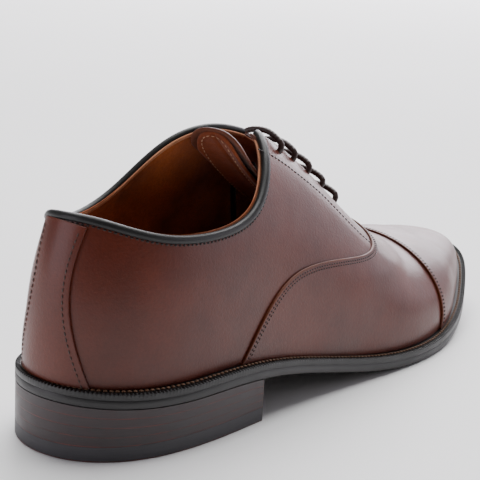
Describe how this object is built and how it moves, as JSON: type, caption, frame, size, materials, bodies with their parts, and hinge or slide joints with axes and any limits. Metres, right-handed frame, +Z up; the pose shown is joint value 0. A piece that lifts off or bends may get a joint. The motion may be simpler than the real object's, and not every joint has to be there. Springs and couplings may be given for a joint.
{
  "type": "leather oxford shoe",
  "caption": "Closed-laced cap-toe oxford shoe for the right foot, with rolled topline, straight bar lacing, stitched welt and stacked heel.",
  "frame": {"origin": "on the ground under the middle of the shoe's length and width", "axes": "+X to the toe, +Z up, -Y to the outer (lateral) side, so +Y is the inner side of this right shoe"},
  "size_m": [0.302, 0.1055, 0.115],
  "materials": {
    "upper_leather": "polished mahogany-brown calf",
    "binding": "near-black rolled binding",
    "lining": "matt tan lining",
    "board": "leatherboard",
    "eyelet_brass": "plain",
    "lace": "waxed cotton braid",
    "aglet": "clear-wrapped tip",
    "insole_leather": "vegetable-tanned",
    "cork": "granulated cork",
    "steel": "plain",
    "sole_edge": "black dressed edge",
    "welt_thread": "brown waxed thread",
    "heel_stack": "dyed stacked leather",
    "top_piece": "moulded"
  },
  "bodies": {
    "shoe": {"toe_cap": "upper_leather", "vamp": "upper_leather", "lateral_quarter": "upper_leather", "medial_quarter": "upper_leather", "back_strip": "upper_leather", "topline_binding": "binding", "lateral_lining": "lining", "medial_lining": "lining", "vamp_lining": "lining", "heel_grip": "lining", "sock_lining": "lining", "heel_counter": "board", "toe_puff": "board", "lateral_facing_stay": "board", "medial_facing_stay": "board", "lateral_eyelets": "eyelet_brass", "medial_eyelets": "eyelet_brass", "lace": "lace", "lace_end_lateral": "lace", "lace_end_medial": "lace", "aglets": "aglet", "insole": "insole_leather", "insole_rib": "insole_leather", "cork_filler": "cork", "shank": "steel", "welt": "sole_edge", "welt_stitching": "welt_thread", "outsole": "sole_edge", "heel_lift_1": "heel_stack", "heel_lift_2": "heel_stack", "heel_lift_3": "heel_stack", "heel_lift_4": "heel_stack", "top_piece": "top_piece", "heel_nails": "steel"},
    "tongue": {"tongue": "upper_leather", "tongue_lining": "lining"}
  },
  "joints": [
    {"name": "tongue_hinge", "type": "hinge", "parent": "shoe", "child": "tongue", "pos_m": [0.035, 0.0045, 0.0535], "axis": [0, -1, 0], "range_deg": [0, 12], "stiffness_Nm_per_rad": 0.3, "springref_deg": -0.92}
  ]
}
